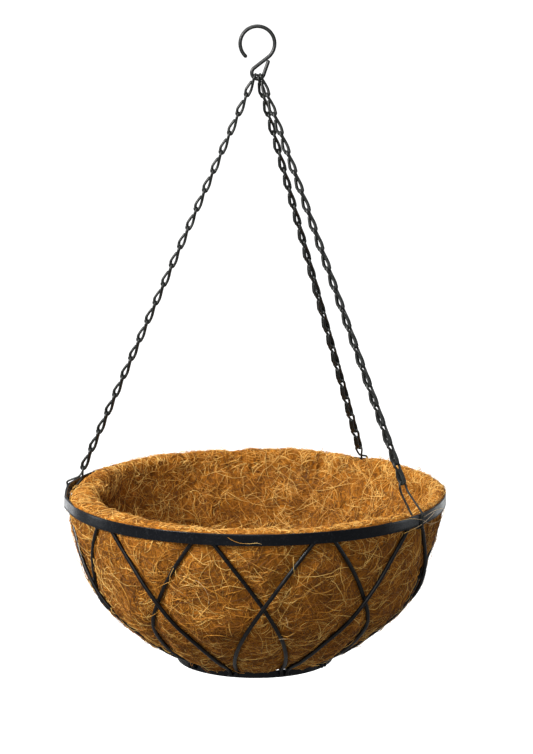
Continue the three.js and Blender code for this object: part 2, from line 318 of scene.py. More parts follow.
def finish_piece(name, mesh, material, body, replaced=()):
    mesh.validate()
    mesh.polygons.foreach_set("use_smooth", [True] * len(mesh.polygons))
    mesh.materials.append(material)
    mesh.update()
    piece = new_object(name, mesh)
    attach(piece, body)
    if replaced:
        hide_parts(*replaced)
    return piece


def quad_mesh(name, vertices, quads, triangles=None):
    """A mesh from arrays of corners, four to a face and, optionally, three to a face."""
    corners, sizes = [quads.ravel()], [np.full(len(quads), 4)]
    if triangles is not None:
        corners.append(triangles.ravel())
        sizes.append(np.full(len(triangles), 3))
    corners, sizes = np.concatenate(corners), np.concatenate(sizes)
    mesh = bpy.data.meshes.new(name)
    mesh.vertices.add(len(vertices))
    mesh.vertices.foreach_set("co", np.asarray(vertices, np.float32).ravel())
    mesh.loops.add(len(corners))
    mesh.loops.foreach_set("vertex_index", corners.astype(np.int32))
    mesh.polygons.add(len(sizes))
    mesh.polygons.foreach_set("loop_start", (np.cumsum(sizes) - sizes).astype(np.int32))
    mesh.update(calc_edges=True)
    return mesh


# ---------------------------------------------------------------- materials


class Paint:
    """A node material, built with short calls."""

    def __init__(self, name):
        self.material = bpy.data.materials.new(name)
        self.material.use_nodes = True
        self.nodes = self.material.node_tree.nodes
        self.links = self.material.node_tree.links
        self.surface = self.nodes["Principled BSDF"]
        self.place = self.nodes.new("ShaderNodeTexCoord").outputs["Object"]

    def feed(self, socket, value):
        if isinstance(value, bpy.types.NodeSocket):
            self.links.new(value, socket)
        else:
            socket.default_value = value

    def noise(self, scale, detail=4.0, roughness=0.55, stretch=(1, 1, 1)):
        mapping = self.nodes.new("ShaderNodeMapping")
        mapping.inputs["Scale"].default_value = stretch
        self.links.new(self.place, mapping.inputs["Vector"])
        node = self.nodes.new("ShaderNodeTexNoise")
        self.links.new(mapping.outputs["Vector"], node.inputs["Vector"])
        node.inputs["Scale"].default_value = scale
        node.inputs["Detail"].default_value = detail
        node.inputs["Roughness"].default_value = roughness
        return node.outputs["Fac"]

    def ramp(self, factor, stops):
        node = self.nodes.new("ShaderNodeValToRGB")
        self.links.new(factor, node.inputs["Fac"])
        elements = node.color_ramp.elements
        while len(elements) < len(stops):
            elements.new(0.5)
        for element, (position, colour) in zip(elements, stops):
            element.position = position
            element.color = colour
        return node.outputs["Color"]

    def span(self, factor, low, high, from_low=0.3, from_high=0.7):
        node = self.nodes.new("ShaderNodeMapRange")
        self.links.new(factor, node.inputs["Value"])
        node.inputs["From Min"].default_value = from_low
        node.inputs["From Max"].default_value = from_high
        node.inputs["To Min"].default_value = low
        node.inputs["To Max"].default_value = high
        return node.outputs["Result"]

    def mix(self, factor, a, b):
        node = self.nodes.new("ShaderNodeMix")
        node.data_type = "RGBA"
        self.feed(node.inputs["Factor"], factor)
        self.feed(node.inputs[6], a)
        self.feed(node.inputs[7], b)
        return node.outputs[2]

    def bump(self, height, distance, strength=1.0, below=None):
        node = self.nodes.new("ShaderNodeBump")
        self.links.new(height, node.inputs["Height"])
        node.inputs["Distance"].default_value = distance
        node.inputs["Strength"].default_value = strength
        if below is not None:
            self.links.new(below, node.inputs["Normal"])
        self.links.new(node.outputs["Normal"], self.surface.inputs["Normal"])
        return node.outputs["Normal"]

    def attribute(self, name):
        node = self.nodes.new("ShaderNodeAttribute")
        node.attribute_name = name
        return node.outputs["Fac"]


def srgb(red, green, blue):
    """A linear colour from display values of 0 to 255."""
    parts = [c / 255 for c in (red, green, blue)]
    return tuple(c / 12.92 if c <= 0.04045 else ((c + 0.055) / 1.055) ** 2.4 for c in parts) + (1.0,)


def coated_steel(name, colour, worn, roughness, shine, grain):
    """Black coating on steel: a fine orange-peel skin, uneven gloss and slightly rubbed high spots."""
    paint = Paint(name)
    blotch = paint.noise(60, 5)
    rubbed = paint.span(paint.noise(420, 3, 0.7), 0.0, 0.55, 0.56, 0.74)
    base = paint.mix(rubbed, colour, worn)
    paint.feed(paint.surface.inputs["Base Color"], base)
    paint.feed(paint.surface.inputs["Roughness"], paint.span(blotch, roughness - 0.07, roughness + 0.1))
    paint.surface.inputs["Specular IOR Level"].default_value = shine
    peel = paint.noise(grain, 2)
    skin = paint.bump(peel, 0.05 * MM, 0.35)
    paint.bump(blotch, 0.25 * MM, 0.3, skin)
    return paint.material


COIR_DARK = srgb(60, 32, 6)
COIR_DEEP = srgb(108, 64, 14)
COIR_BROWN = srgb(164, 102, 27)
COIR_GOLD = srgb(214, 147, 50)
COIR_STRAW = srgb(248, 205, 118)


def coir_mat():
    """The matted ground under the fibres: mottled brown and gold with crumbly hollows. Its colour is painted
    shade: darker than the fibres lying on it, and darkest in the hollows of its bump.
    """
    paint = Paint("coir_mat")
    patch = paint.noise(24, 4, 0.6)
    clump = paint.noise(190, 5, 0.7)
    hair = paint.noise(620, 4, 0.75, (1, 1, 2.4))
    # Painted shade: the clump noise that sinks the bump's hollows also darkens them, down to near
    # black-brown.
    shaded_ground = paint.ramp(clump, [(0.34, COIR_DARK), (0.48, COIR_DEEP), (0.62, COIR_BROWN)])
    tinted = paint.mix(paint.span(patch, 0.0, 0.35), shaded_ground, COIR_BROWN)
    # Painted shade as well: the raised hairs of the bump are coloured lighter than the mat between them.
    streaked = paint.mix(paint.span(hair, 0.0, 0.5, 0.5, 0.68), tinted, COIR_BROWN)
    paint.feed(paint.surface.inputs["Base Color"], streaked)
    paint.surface.inputs["Roughness"].default_value = 0.92
    paint.surface.inputs["Specular IOR Level"].default_value = 0.15
    low = paint.bump(clump, 1.6 * MM, 0.9)
    paint.bump(hair, 0.6 * MM, 0.9, low)
    return paint.material


def coir_fibre(name, tones):
    """Single coconut fibres. Each one has its own tone, with a little change along it."""
    paint = Paint(name)
    tone = paint.ramp(paint.attribute("tone"), tones)
    along = paint.noise(260, 3)
    paint.feed(paint.surface.inputs["Base Color"], paint.mix(paint.span(along, 0.0, 0.45), tone, COIR_BROWN))
    paint.feed(paint.surface.inputs["Roughness"], paint.span(along, 0.45, 0.7))
    paint.surface.inputs["Specular IOR Level"].default_value = 0.3
    paint.bump(paint.noise(1800, 2), 0.08 * MM, 0.5)
    return paint.material


RUBBED = srgb(40, 42, 46)
BAND_PAINT = coated_steel("band_coating", srgb(3, 5, 10), RUBBED, 0.24, 0.26, 900)
WIRE_PAINT = coated_steel("wire_coating", srgb(3, 3, 4), RUBBED, 0.28, 0.3, 1100)
CHAIN_PAINT = coated_steel("chain_coating", srgb(13, 16, 14), srgb(76, 82, 78), 0.36, 0.45, 1500)
HOOK_PAINT = coated_steel("hook_coating", srgb(18, 20, 20), srgb(84, 86, 86), 0.34, 0.45, 1300)
WELD_PAINT = coated_steel("weld_coating", srgb(10, 10, 11), RUBBED, 0.5, 0.3, 700)
MAT_PAINT = coir_mat()
OUTER_PAINT = coir_fibre(
    "coir_fibre_outer",
    [(0.0, COIR_DARK), (0.3, COIR_DEEP), (0.55, COIR_BROWN), (0.8, COIR_GOLD), (1.0, COIR_STRAW)],
)
INNER_PAINT = coir_fibre(
    "coir_fibre_inner",
    [(0.0, COIR_DARK), (0.18, COIR_DEEP), (0.4, COIR_BROWN), (0.68, COIR_GOLD), (1.0, COIR_STRAW)],
)
LIP_PAINT = coir_fibre("coir_fibre_lip", [(0.0, COIR_BROWN), (0.4, COIR_GOLD), (1.0, COIR_STRAW)])
STRAY_PAINT = coir_fibre(
    "coir_fibre_stray",
    [(0.0, COIR_GOLD), (0.5, COIR_STRAW), (1.0, srgb(206, 190, 164))],
)


# ---------------------------------------------------------------- bowl outline and frame wires

outline_depth, outline_radius = (catmull_rom([[d, r] for d, r in BOWL_OUTLINE], 50) * MM).T


def bowl_radius(depth):
    radius = np.interp(depth, outline_depth, outline_radius)
    return np.maximum(radius, FOOT_RADIUS * MM)


def wire_place(pair, direction, depth):
    """Azimuth and radius of a frame wire's centre line at a depth below the rim's middle."""
    sector = pair if direction > 0 else (pair - 1) % PAIR_COUNT
    outside = CLOCKWISE_OUTSIDE[sector] == (direction < 0)
    share = (depth - WIRE_TOP_DEPTH) / (WIRE_FOOT_DEPTH - WIRE_TOP_DEPTH)
    start = FIRST_PAIR_AZIMUTH + pair * PAIR_STEP + direction * RIM_HALF_SPREAD
    travel = direction * (PAIR_STEP - RIM_HALF_SPREAD - BASE_HALF_SPREAD)
    azimuth = start + travel * ((1 + TURN_LEAD) * share - TURN_LEAD * share**3)
    near = np.minimum(1, np.abs(depth - CROSSING_DEPTH) / CROSSING_REACH)
    step = np.cos(near * math.pi / 2) ** 2 * (STEP_OUT if outside else STEP_IN)
    return azimuth, bowl_radius(depth) - WIRE_RADIUS + step


def all_wires():
    return [(pair, direction) for pair in range(PAIR_COUNT) for direction in (1, -1)]


def build_frame_wires():
    depth = np.linspace(WIRE_TOP_DEPTH, WIRE_END_DEPTH, WIRE_STEPS)
    for pair, direction in all_wires():
        azimuth, radius = wire_place(pair, direction, depth)
        node = f"frame_wire_{pair + 1:02d}_{'a' if direction > 0 else 'b'}"
        wire = Shape()
        wire.add_wire(around_z(radius, azimuth, RIM_Z - depth), COATED_WIRE_RADIUS, WIRE_SIDES)
        wire.make(f"{node}_round", WIRE_PAINT, "basket", "frame_wire", [node])


def build_welds():
    """Beads where the wires meet the band and the base ring, and spots where they cross."""
    rim, foot, spot = Shape(), Shape(), Shape()
    for pair, direction in all_wires():
        for shape, depth, reach in ((rim, RIM_WELD_DEPTH, 1), (foot, BASE_WELD_DEPTH, -1)):
            azimuth, radius = wire_place(pair, direction, np.array([depth, depth + 1 * MM]))
            here, below = around_z(radius, azimuth, RIM_Z - np.array([depth, depth + 1 * MM]))
            out = around_z(1, azimuth[0], 0)
            run = unit(below - here)
            beside = np.cross(run, out)
            centre = here + out * reach * WIRE_RADIUS * 0.75
            shape.add_bead(centre, [out * 0.9 * MM, beside * 1.9 * MM, run * 2.6 * MM], 0.35)
        if direction > 0:
            crossing_azimuth = FIRST_PAIR_AZIMUTH + (pair + 0.5) * PAIR_STEP
            depths = np.linspace(40 * MM, 90 * MM, 200)
            places = wire_place(pair, 1, depths)[0]
            depth = depths[np.argmin(np.abs(angle_between(places, crossing_azimuth)))]
            out = around_z(1, crossing_azimuth, 0)
            middle = around_z(bowl_radius(depth) - 1.1 * MM, crossing_azimuth, RIM_Z - depth)
            side = around_z(1, crossing_azimuth + 90, 0)
            up = np.array([0.0, 0.0, 1.0])
            spot.add_bead(middle, [out * 1.6 * MM, side * 2.3 * MM, up * 2.6 * MM], 0.3)
    rim.make("rim_weld_beads", WELD_PAINT, "basket", "frame_wire")
    foot.make("base_weld_beads", WELD_PAINT, "basket", "frame_wire")
    spot.make("crossing_weld_spots", WELD_PAINT, "basket", "frame_wire")


def strip_section(thickness, height):
    """The outline of a flat strip with rounded edges, as radial and vertical offsets."""
    half_t, half_h, r = thickness / 2, height / 2, STRIP_EDGE_RADIUS
    section = []
    for corner, (x, z) in enumerate([(1, -1), (1, 1), (-1, 1), (-1, -1)]):
        for k in range(5):
            angle = math.radians(-90 + 90 * corner + 22.5 * k)
            across = x * (half_t - r) + r * math.cos(angle)
            section.append((across, z * (half_h - r) + r * math.sin(angle)))
        if corner in (0, 2):
            section += [(x * half_t, z * half_h * s) for s in (0.5, 0.0, -0.5)]
    return np.array(section)


def rolled_strip(name, middle_radius, middle_z, thickness, height, segments, offsets, replaced):
    """A strip rolled into a ring. offsets(azimuth) gives radius, height and lean changes."""
    section = strip_section(thickness, height)
    azimuth = np.arange(segments) * 360 / segments
    out, up, lean = offsets(azimuth)
    across = section[None, :, 0] + lean[:, None] * section[None, :, 1]
    radius = middle_radius + out[:, None] + across
    z = middle_z + up[:, None] + section[None, :, 1] - lean[:, None] * section[None, :, 0]
    vertices = around_z(radius, azimuth[:, None], z).reshape(-1, 3)
    count = len(section)
    i, j = np.meshgrid(np.arange(segments), np.arange(count), indexing="ij")
    ni, nj = (i + 1) % segments, (j + 1) % count
    quads = np.stack([i * count + j, ni * count + j, ni * count + nj, i * count + nj], -1).reshape(-1, 4)
    mesh = quad_mesh(name, vertices, quads)
    return finish_piece(name, mesh, BAND_PAINT, "basket", replaced)


def chain_azimuth(chain):
    x, y, _ = JOINTS[f"chain_{chain}_let_down"]["pos_m"]
    return math.degrees(math.atan2(y, x))


def band_offsets(azimuth):
    out = BAND_WAVE * (0.6 * np.sin(np.radians(3 * azimuth + 40)) + 0.4 * np.sin(np.radians(7 * azimuth)))
    out = out + FAR_LEFT_CORNER * np.exp(-np.abs(angle_between(azimuth, FAR_LEFT_AZIMUTH)) / 4)
    up = FRONT_RISE * np.exp(-((angle_between(azimuth, -90) / 36) ** 2))
    lean = 0.03 * np.sin(np.radians(5 * azimuth + 15))
    for chain in CHAIN_NAMES:
        away = np.abs(angle_between(azimuth, chain_azimuth(chain)))
        corner = np.exp(-away / BAND_CORNER_WIDTH)
        out = out + BAND_CORNER * (corner - 0.25 * np.exp(-(((away - 14) / 8) ** 2)))
        up = up + 0.5 * MM * corner
    return out, up, lean


def base_offsets(azimuth):
    out = 0.2 * MM * np.sin(np.radians(4 * azimuth))
    return out, 0 * azimuth, 0.02 * np.sin(np.radians(3 * azimuth + 60))


def build_strips():
    middle = BAND_OUTER_RADIUS - BAND_THICKNESS / 2
    rolled_strip(
        "rim_band_rolled",
        middle,
        RIM_Z,
        BAND_THICKNESS,
        BAND_HEIGHT,
        BAND_STEPS,
        band_offsets,
        ["rim_band"],
    )
    rolled_strip(
        "base_ring_rolled",
        BASE_OUTER_RADIUS - BASE_THICKNESS / 2,
        BASE_HEIGHT / 2,
        BASE_THICKNESS,
        BASE_HEIGHT,
        BASE_STEPS,
        base_offsets,
        ["base_ring"],
    )


# ---------------------------------------------------------------- coir liner


def wire_distance(azimuth, depth):
    """How far a place on the bowl is from the nearest frame wire, along the surface."""
    nearest = np.full(np.broadcast(azimuth, depth).shape, 1.0)
    inside = np.clip(depth, WIRE_TOP_DEPTH, WIRE_FOOT_DEPTH)
    radius = bowl_radius(inside)
    for pair, direction in all_wires():
        here = wire_place(pair, direction, inside)[0]
        below = wire_place(pair, direction, inside + 1 * MM)[0]
        drop = np.hypot(1 * MM, bowl_radius(inside + 1 * MM) - radius)
        slant = np.radians(below - here) * radius / drop
        away = np.radians(np.abs(angle_between(azimuth, here))) * radius / np.sqrt(1 + slant**2)
        nearest = np.minimum(nearest, away)
    return nearest


def wall_place(depth, inset):
    """A place at an inset square to the bowl's outline, as radius and height."""
    slope = (bowl_radius(depth + 1 * MM) - bowl_radius(depth - 1 * MM)) / (2 * MM)
    length = np.hypot(1, slope)
    return bowl_radius(depth) - inset / length, RIM_Z - depth - inset * slope / length


def lumps(places, wavelength, amplitude, seed):
    shift = Vector((seed * 3.7, seed * 1.3, seed * 2.1))
    flat = places.reshape(-1, 3) / wavelength
    values = [noise.noise(Vector(p) + shift) for p in flat]
    return amplitude * np.array(values).reshape(places.shape[:-1])


class Liner:
    """The liner's surface as a grid: round the basket by along its section, from under to inside."""

    def __init__(self):
        azimuth = (np.arange(LINER_AROUND) * 360 / LINER_AROUND)[:, None]
        turned = angle_between(azimuth, 0)
        thickness = np.interp(turned, *np.array(LIP_THICKNESS).T) * MM
        dip = np.zeros_like(azimuth)
        for chain in CHAIN_NAMES:
            away = np.abs(angle_between(azimuth, chain_azimuth(chain)))
            dip = dip + CLIP_DIP * np.exp(-((away / CLIP_DIP_WIDTH) ** 2))
        ring = around_z(0.17, azimuth[:, 0], 0.0)
        crest_wave = lumps(ring, 0.05, 1.9 * MM, 1)[:, None] + lumps(ring, 0.016, 0.9 * MM, 2)[:, None]
        crest = LIP_CREST + crest_wave - dip

        outer_depth = np.linspace(LINER_FOOT_DEPTH, 1 * MM, LINER_OUTER_STEPS)[None, :]
        away = wire_distance(azimuth, outer_depth)
        crossing = np.clip(1 - np.abs(outer_depth - CROSSING_DEPTH) / CROSSING_REACH, 0, 1)
        pressed = LINER_OFF_WIRE + 1.3 * MM * crossing
        puff = LINER_PUFF * smoothstep(2 * MM, PUFF_REACH, away)
        puff = puff + 1.0 * MM * smoothstep(1.5 * MM, 5 * MM, away)
        gap = LIP_GAP * np.exp(-((angle_between(azimuth, LIP_GAP_AZIMUTH) / LIP_GAP_WIDTH) ** 4))
        wall_gap = 0.2 * gap * smoothstep(LIP_GAP_DEPTH, 0, outer_depth)
        outer = wall_place(outer_depth, pressed - puff + wall_gap)

        lip_top = np.linspace(0, math.pi, LINER_LIP_STEPS)[None, :]
        lip_outer = LIP_OUTER_RADIUS - 0.9 * dip + 0.15 * crest_wave - gap
        lip_inner = lip_outer - thickness - 0.5 * crest_wave
        middle, half = (lip_outer + lip_inner) / 2, (lip_outer - lip_inner) / 2
        arc = np.cos(lip_top)
        lip_radius = middle + half * np.sign(arc) * np.abs(arc) ** 0.8
        foot = 4.8 * MM - 9 * MM * lip_top / math.pi
        lip_z = RIM_Z + foot + (crest - foot) * np.sin(lip_top) ** 0.75

        inner_depth = np.linspace(9 * MM, LINER_FOOT_DEPTH - 14 * MM, LINER_INNER_STEPS)[None, :]
        fall = smoothstep(5 * MM, LIP_BLEND_DEPTH, inner_depth)
        lip_inset = (bowl_radius(0) - lip_inner) - 1.5 * MM
        plain_inset = LINER_OFF_WIRE - 0.6 * LINER_PUFF + LINER_WALL
        inner = wall_place(inner_depth, lip_inset * (1 - fall) + plain_inset * fall)

        outer_bottom = np.linspace(0.12, 0.985, LINER_BOTTOM_STEPS)[None, :]
        foot_radius, foot_z = outer[0][:, :1], outer[1][:, :1]
        sag = LINER_BOTTOM_SAG * (1 - outer_bottom**2)
        bottom = foot_radius * outer_bottom, foot_z - sag
        inner_foot_radius, inner_foot_z = inner[0][:, -1:], inner[1][:, -1:]
        inside = outer_bottom[:, ::-1]
        floor_z = foot_z + LINER_WALL
        blend = smoothstep(0.55, 1.0, inside)
        floor = inner_foot_radius * inside, floor_z + (inner_foot_z - floor_z) * blend

        radius = np.hstack([bottom[0], outer[0], lip_radius, inner[0], floor[0]])
        z = np.hstack([bottom[1], outer[1], lip_z, inner[1], floor[1]])
        self.inner_start = LINER_BOTTOM_STEPS + LINER_OUTER_STEPS + LINER_LIP_STEPS
        self.lip_start = LINER_BOTTOM_STEPS + LINER_OUTER_STEPS
        self.free = np.ones(radius.shape)  # 0 under a frame wire, 1 well away from one
        self.free[:, LINER_BOTTOM_STEPS : self.lip_start] = smoothstep(1.5 * MM, WIRE_SHADOW, away)
        self.places = around_z(radius, azimuth, z)
        self.normals = self.find_normals()
        self.roughen(azimuth)
        self.normals = self.find_normals()
        section = np.linalg.norm(np.diff(self.places, axis=1), axis=2).mean(0)
        self.along = np.concatenate([[0], np.cumsum(section)])
        self.radius = np.hypot(self.places[:, :, 0], self.places[:, :, 1]).mean(0)

    def find_normals(self):
        around = np.roll(self.places, -1, 0) - np.roll(self.places, 1, 0)
        section = np.gradient(self.places, axis=1)
        return unit(np.cross(around, section))

    def roughen(self, azimuth):
        """Lumps of matted fibre, larger inside, with soft folds and a torn slit in the back wall."""
        wall = self.places
        inner = np.zeros(wall.shape[1])
        inner[self.inner_start :] = 1.0
        lip = np.zeros(wall.shape[1])
        lip[self.lip_start : self.inner_start] = 1.0
        height = lumps(wall, 0.045, 1.5 * MM, 3) * (1 + 1.1 * inner)
        height += lumps(wall, 0.014, 0.9 * MM, 4) * (1 + 0.6 * inner + 0.4 * lip)
        height += lumps(wall, 0.0055, 0.55 * MM, 5)
        depth = RIM_Z - wall[:, :, 2]
        for fold_azimuth, strength in FOLDS:
            away = angle_between(azimuth, fold_azimuth + 90 * depth)
            fade = smoothstep(2 * MM, 22 * MM, depth) * smoothstep(110 * MM, 60 * MM, depth)
            height += inner * strength * MM * np.exp(-((away / 2.2) ** 2)) * fade
        below = depth - SLIT_DEPTH
        across = np.radians(angle_between(azimuth, SLIT_AZIMUTH)) * 0.165 + 0.25 * below
        slit = np.exp(-((across / (1.6 * MM)) ** 2) - ((below / (5.5 * MM)) ** 2))
        height -= inner * 6 * MM * slit
        height = np.where(height > 0, height * self.free, height)
        self.places = wall + self.normals * height[:, :, None]

    def sample(self, azimuth, along):
        """Places, outward normals and freedom from wires at azimuths and distances along the section."""
        column = np.interp(along, self.along, np.arange(len(self.along)))
        row = (azimuth % 360) / 360 * LINER_AROUND
        i, j = np.floor(row).astype(int), np.minimum(np.floor(column).astype(int), len(self.along) - 2)
        a, b = (row - i)[..., None], (column - j)[..., None]
        i, k = i % LINER_AROUND, (i + 1) % LINER_AROUND
        found = []
        for grid in (self.places, self.normals, self.free[:, :, None]):
            low = grid[i, j] * (1 - a) + grid[k, j] * a
            high = grid[i, j + 1] * (1 - a) + grid[k, j + 1] * a
            found.append(low * (1 - b) + high * b)
        return found[0], unit(found[1]), found[2][..., 0]

    def build(self):
        rows, columns = self.places.shape[:2]
        i, j = np.meshgrid(np.arange(rows), np.arange(columns - 1), indexing="ij")
        k = (i + 1) % rows
        quads = [i * columns + j, k * columns + j, k * columns + j + 1, i * columns + j + 1]
        poles = [(0, 0, self.places[:, column, 2].mean()) for column in (0, -1)]
        row, after = np.arange(rows) * columns, np.roll(np.arange(rows) * columns, -1)
        under = np.stack([after, row, np.full(rows, rows * columns)], -1)
        inside = np.stack([row + columns - 1, after + columns - 1, np.full(rows, rows * columns + 1)], -1)
        vertices = np.vstack([self.places.reshape(-1, 3), poles])
        triangles = np.vstack([under, inside])
        mesh = quad_mesh("coir_liner_mat", vertices, np.stack(quads, -1).reshape(-1, 4), triangles)
        return finish_piece("coir_liner_mat", mesh, MAT_PAINT, "basket", ["coir_liner"])


def tube_mesh(name, paths, normals, radii, tones, sides=FIBRE_SIDES):
    """Many thin closed tubes in one mesh. paths and normals are count x steps x 3, radii count x steps."""
    count, steps = paths.shape[:2]
    tangents = unit(np.gradient(paths, axis=1))
    across = unit(np.cross(tangents, normals))
    above = np.cross(across, tangents)
    angles = 2 * np.pi * np.arange(sides) / sides
    ring = across[:, :, None] * np.cos(angles)[:, None] + above[:, :, None] * np.sin(angles)[:, None]
    vertices = paths[:, :, None] + ring * radii[:, :, None, None]
    step, side = np.meshgrid(np.arange(steps - 1), np.arange(sides), indexing="ij")
    after = (side + 1) % sides
    wall = np.stack(
        [step * sides + side, (step + 1) * sides + side, (step + 1) * sides + after, step * sides + after], -1
    ).reshape(-1, 4)
    caps = np.array([range(sides), range(steps * sides - 1, (steps - 1) * sides - 1, -1)])
    starts = (np.arange(count) * steps * sides)[:, None, None]
    quads = (wall[None] + starts).reshape(-1, 4)
    triangles = (caps[None] + starts).reshape(-1, sides)
    mesh = quad_mesh(name, vertices.reshape(-1, 3), quads, triangles)
    tone = mesh.attributes.new("tone", "FLOAT", "POINT")
    tone.data.foreach_set("value", np.repeat(tones, steps * sides).astype(np.float32))
    return mesh


def behind_band(places):
    """Keeps fibres inside the band, where they would otherwise run through it."""
    radius = np.hypot(places[..., 0], places[..., 1])
    beside = np.abs(places[..., 2] - RIM_Z - 0.5 * MM) < BAND_HEIGHT / 2 + 1.5 * MM
    limit = BAND_OUTER_RADIUS - BAND_THICKNESS - 0.8 * MM
    shrink = np.where(beside & (radius > limit), limit / radius, 1.0)
    return places * np.stack([shrink, shrink, np.ones_like(shrink)], -1)


class Fibres:
    """One batch of coir fibres lying on a zone of the liner."""

    def __init__(self, name, paint, count, zone, length, lift, loose=0.08, heading=None):
        self.name, self.paint, self.count = name, paint, count
        self.zone, self.length, self.lift = zone, length, lift
        self.loose, self.heading = loose, heading

    def build(self, liner, rng):
        steps = FIBRE_STEPS
        start, end = self.zone
        table = np.linspace(start, end, 200)
        weight = np.cumsum(np.interp(table, liner.along, liner.radius))
        pick = rng.random(self.count) * weight[-1]
        along = np.interp(pick, weight, table)
        azimuth = rng.random(self.count) * 360
        if self.heading is None:
            heading = rng.random(self.count) * 2 * np.pi
        else:
            heading = self.heading + rng.normal(0, HEADING_SPREAD, self.count)
        length = rng.uniform(*self.length, self.count) * MM
        bend = rng.normal(0, 1.0, self.count)
        curly = rng.random(self.count) < CURLY_SHARE
        bend = np.where(curly, bend * CURLY_BEND, bend * PLAIN_BEND)
        wiggle = rng.normal(0, 0.16, (self.count, steps))
        azimuths, alongs = [], []
        for k in range(steps):
            azimuths.append(azimuth)
            alongs.append(along)
            stride = length / (steps - 1)
            radius = np.maximum(np.interp(along, liner.along, liner.radius), 6 * MM)
            azimuth = azimuth + np.degrees(np.cos(heading) * stride / radius)
            along = np.clip(along + np.sin(heading) * stride, liner.along[1], liner.along[-2])
            heading = heading + bend / (steps - 1) + wiggle[:, k]
        places, normals, free = liner.sample(np.stack(azimuths, 1), np.stack(alongs, 1))
        share = np.linspace(0, 1, steps)[None, :]
        lift = np.abs(rng.normal(0, 1, self.count)) * self.lift * MM
        is_loose = rng.random(self.count) < self.loose
        lift = np.where(is_loose, lift * 2.6 + 0.8 * MM, lift)[:, None]
        peak = rng.uniform(0.35, 1.0, self.count)[:, None]
        arch = np.sin(np.pi * np.clip(share / (2 * peak), 0, 1)) ** 1.3
        flat = np.where(is_loose[:, None], 0.6, 0.15)
        height = -FIBRE_SINK + (lift + 0.45 * MM) * arch * (flat + (1 - flat) * free)
        sway = np.cumsum(rng.normal(0, 0.12 * MM, (self.count, steps)), axis=1)
        sideways = np.cross(normals, unit(np.gradient(places, axis=1)))
        places = behind_band(places + normals * height[:, :, None] + sideways * sway[:, :, None])
        thick = rng.uniform(*FIBRE_RADIUS, self.count)[:, None] * MM
        radii = thick * (0.35 + 0.65 * np.sin(np.pi * np.clip(share, 0.04, 0.96)) ** 0.4)
        patch = np.array([noise.noise(Vector(p) / TONE_PATCH) for p in places[:, steps // 2]])
        tones = np.clip(rng.normal(0.46, 0.3, self.count) + 0.6 * patch + 0.3 * is_loose, 0, 1)
        mesh = tube_mesh(self.name, places, normals, radii, tones)
        return finish_piece(self.name, mesh, self.paint, "basket")


def build_fibres(liner):
    rng = np.random.default_rng(SEED)
    lip = liner.along[liner.lip_start - 4]
    inner = liner.along[liner.inner_start]
    foot = liner.along[LINER_BOTTOM_STEPS]
    end = liner.along[-1]
    floor = end - FLOOR_SPAN
    batches = [
        Fibres("coir_fibres_outer_1", OUTER_PAINT, FULL_BATCH, (foot, lip), (22, 60), 0.8, LOOSE_SHARE),
        Fibres("coir_fibres_outer_2", OUTER_PAINT, FULL_BATCH, (foot, lip), (14, 40), 0.8),
        Fibres("coir_fibres_outer_3", OUTER_PAINT, FULL_BATCH, (foot, lip), (12, 30), 0.6),
        Fibres("coir_fibres_outer_4", OUTER_PAINT, FULL_BATCH, (foot, lip), (18, 46), 0.5),
        Fibres("coir_fibres_lip_1", LIP_PAINT, FULL_BATCH, (lip, inner), (6, 20), 0.6, LOOSE_SHARE, 0.0),
        Fibres("coir_fibres_lip_2", LIP_PAINT, 2200, (lip, inner), (5, 15), 0.9, LOOSE_SHARE),
        Fibres("coir_fibres_inner_1", INNER_PAINT, FULL_BATCH, (inner, floor), (16, 55), 1.2, 0.12),
        Fibres("coir_fibres_inner_2", INNER_PAINT, FULL_BATCH, (inner, floor), (10, 32), 1.0),
        Fibres("coir_fibres_inner_3", INNER_PAINT, FULL_BATCH, (inner, floor), (12, 36), 0.7),
        Fibres("coir_fibres_bottom", INNER_PAINT, 1600, (floor, end - 8 * MM), (12, 40), 0.8),
        Fibres("coir_fibres_under", OUTER_PAINT, 1100, (8 * MM, foot), (12, 36), 0.4),
    ]
    for batch in batches:
        batch.build(liner, rng)


